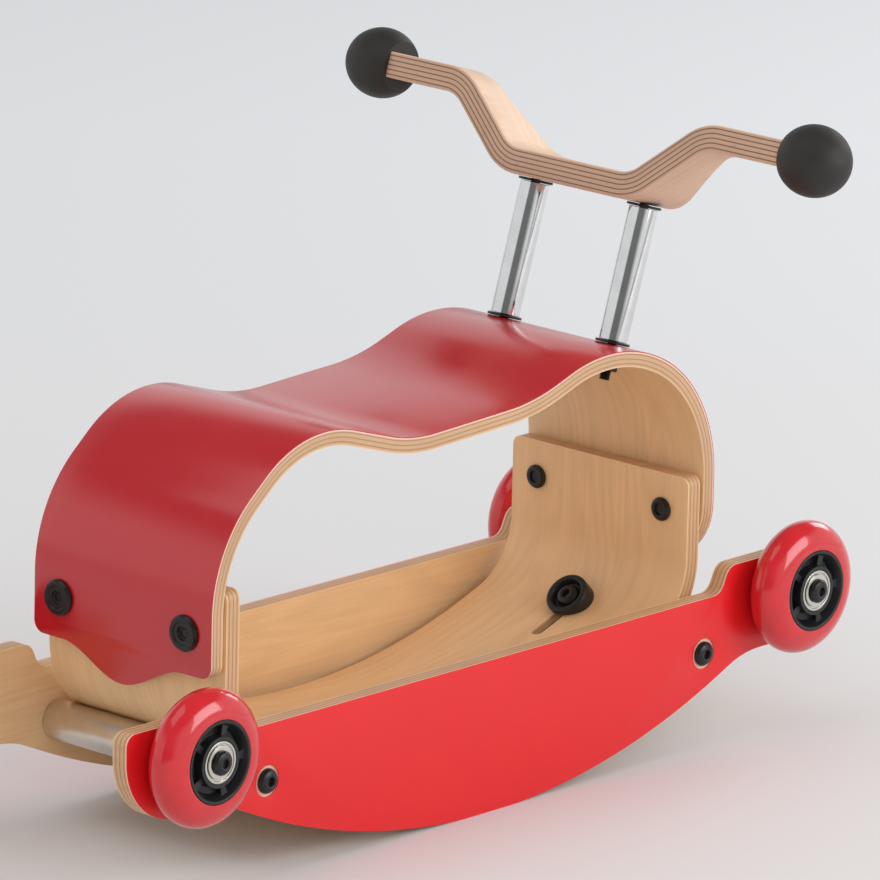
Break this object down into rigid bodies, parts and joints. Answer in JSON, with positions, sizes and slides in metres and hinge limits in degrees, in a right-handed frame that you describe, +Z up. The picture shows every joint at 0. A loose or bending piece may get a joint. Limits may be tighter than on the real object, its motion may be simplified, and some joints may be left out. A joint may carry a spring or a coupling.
{
  "type": "rocking ride-on toy",
  "caption": "Child's rocking ride-on toy: bent-ply seat arch and tray between rocker side panels that carry wheels, with a gull-wing handlebar on posts.",
  "frame": {"origin": "centre of the footprint, on the floor under the middle of the rocker edges", "axes": "+X to the handlebar end, +Y to the rider's left, +Z up"},
  "size_m": [0.5374, 0.3458, 0.353],
  "materials": {
    "red_seat_ply": "satin deep-red laminate over birch ply",
    "red_panel_ply": "satin red laminate over birch ply",
    "birch_ply": "clear-lacquered birch ply",
    "black_wood": "matte black lacquer",
    "red_polyurethane": "glossy red moulded tyre",
    "black_nylon": "moulded black plastic",
    "black_steel": "black",
    "satin_metal": "satin",
    "bearing_steel": "ground steel",
    "bright_steel": "bright",
    "chrome_tube": "polished chrome"
  },
  "bodies": {
    "frame": {"seat_shell": "red_seat_ply", "base_tray": "birch_ply", "side_panel_left": "red_panel_ply", "side_panel_right": "red_panel_ply", "cross_bar_front": "satin_metal", "cross_bar_rear": "satin_metal", "panel_screw_front_left": "black_steel", "panel_screw_front_right": "black_steel", "panel_screw_rear_left": "black_steel", "panel_screw_rear_right": "black_steel", "clamp_knob_front": "black_nylon", "clamp_knob_rear": "black_nylon", "knob_bolt_front": "black_steel", "knob_bolt_rear": "black_steel", "shell_bolt_front_left": "black_steel", "shell_bolt_front_right": "black_steel", "shell_bolt_rear_left": "black_steel", "shell_bolt_rear_right": "black_steel", "shell_nut_front_left": "black_steel", "shell_nut_front_right": "black_steel", "shell_nut_rear_left": "black_steel", "shell_nut_rear_right": "black_steel", "shell_spacer_front_left": "black_nylon", "shell_spacer_front_right": "black_nylon", "shell_spacer_rear_left": "black_nylon", "shell_spacer_rear_right": "black_nylon", "post_left": "chrome_tube", "post_right": "chrome_tube", "post_washer_lower_left": "black_steel", "post_washer_lower_right": "black_steel", "post_washer_upper_left": "black_steel", "post_washer_upper_right": "black_steel", "post_rod_left": "black_steel", "post_rod_right": "black_steel", "post_nut_left": "black_steel", "post_nut_right": "black_steel", "handlebar": "birch_ply", "grip_left": "black_wood", "grip_right": "black_wood", "axle_sleeve_front_left": "bright_steel", "axle_sleeve_front_right": "bright_steel", "axle_sleeve_rear_left": "bright_steel", "axle_sleeve_rear_right": "bright_steel", "axle_bolt_front_left": "black_steel", "axle_bolt_front_right": "black_steel", "axle_bolt_rear_left": "black_steel", "axle_bolt_rear_right": "black_steel"},
    "wheel_front_left": {"tyre_front_left": "red_polyurethane", "hub_front_left": "black_nylon", "bearing_front_left": "bearing_steel"},
    "wheel_front_right": {"tyre_front_right": "red_polyurethane", "hub_front_right": "black_nylon", "bearing_front_right": "bearing_steel"},
    "wheel_rear_left": {"tyre_rear_left": "red_polyurethane", "hub_rear_left": "black_nylon", "bearing_rear_left": "bearing_steel"},
    "wheel_rear_right": {"tyre_rear_right": "red_polyurethane", "hub_rear_right": "black_nylon", "bearing_rear_right": "bearing_steel"}
  },
  "joints": [
    {"name": "wheel_front_left_spin", "type": "hinge", "parent": "frame", "child": "wheel_front_left", "pos_m": [0.228, 0.0942, 0.08], "axis": [0, 1, 0], "continuous": true},
    {"name": "wheel_front_right_spin", "type": "hinge", "parent": "frame", "child": "wheel_front_right", "pos_m": [0.228, -0.0942, 0.08], "axis": [0, 1, 0], "continuous": true},
    {"name": "wheel_rear_left_spin", "type": "hinge", "parent": "frame", "child": "wheel_rear_left", "pos_m": [-0.228, 0.0942, 0.08], "axis": [0, 1, 0], "continuous": true},
    {"name": "wheel_rear_right_spin", "type": "hinge", "parent": "frame", "child": "wheel_rear_right", "pos_m": [-0.228, -0.0942, 0.08], "axis": [0, 1, 0], "continuous": true}
  ]
}
